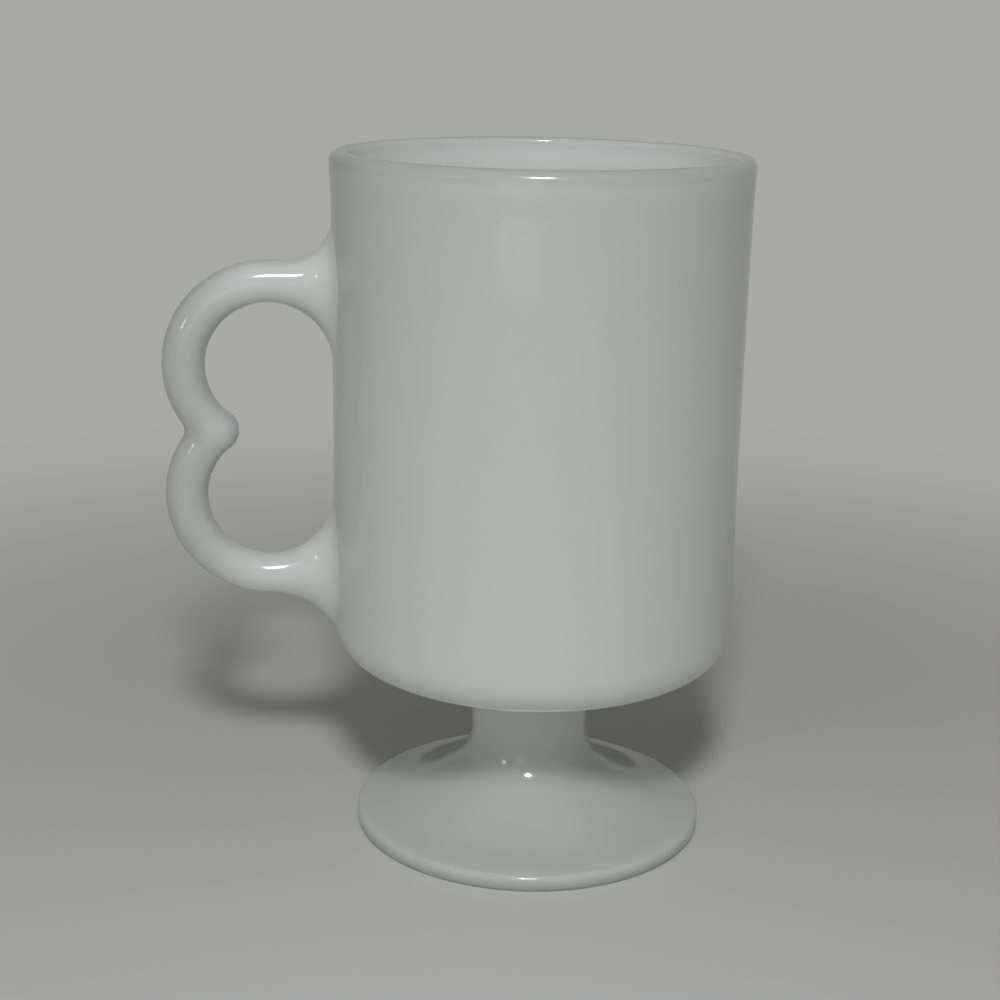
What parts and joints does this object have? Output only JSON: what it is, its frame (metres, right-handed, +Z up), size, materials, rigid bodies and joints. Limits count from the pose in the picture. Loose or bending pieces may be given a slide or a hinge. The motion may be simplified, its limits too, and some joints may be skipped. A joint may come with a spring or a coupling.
{
  "type": "pedestal mug",
  "caption": "Straight-walled pedestal mug in white opal glass with a looped finger handle and a hollow trumpet foot.",
  "frame": {"origin": "centre of the foot's resting plane, on the mug's axis", "axes": "+Z up along the mug's axis, handle towards -X"},
  "size_m": [0.1051, 0.0752, 0.127],
  "materials": {
    "bowl_glass": "gloss",
    "handle_glass": "gloss",
    "pedestal_glass": "gloss"
  },
  "bodies": {
    "root": {"bowl": "bowl_glass", "handle": "handle_glass", "pedestal": "pedestal_glass"}
  },
  "joints": []
}
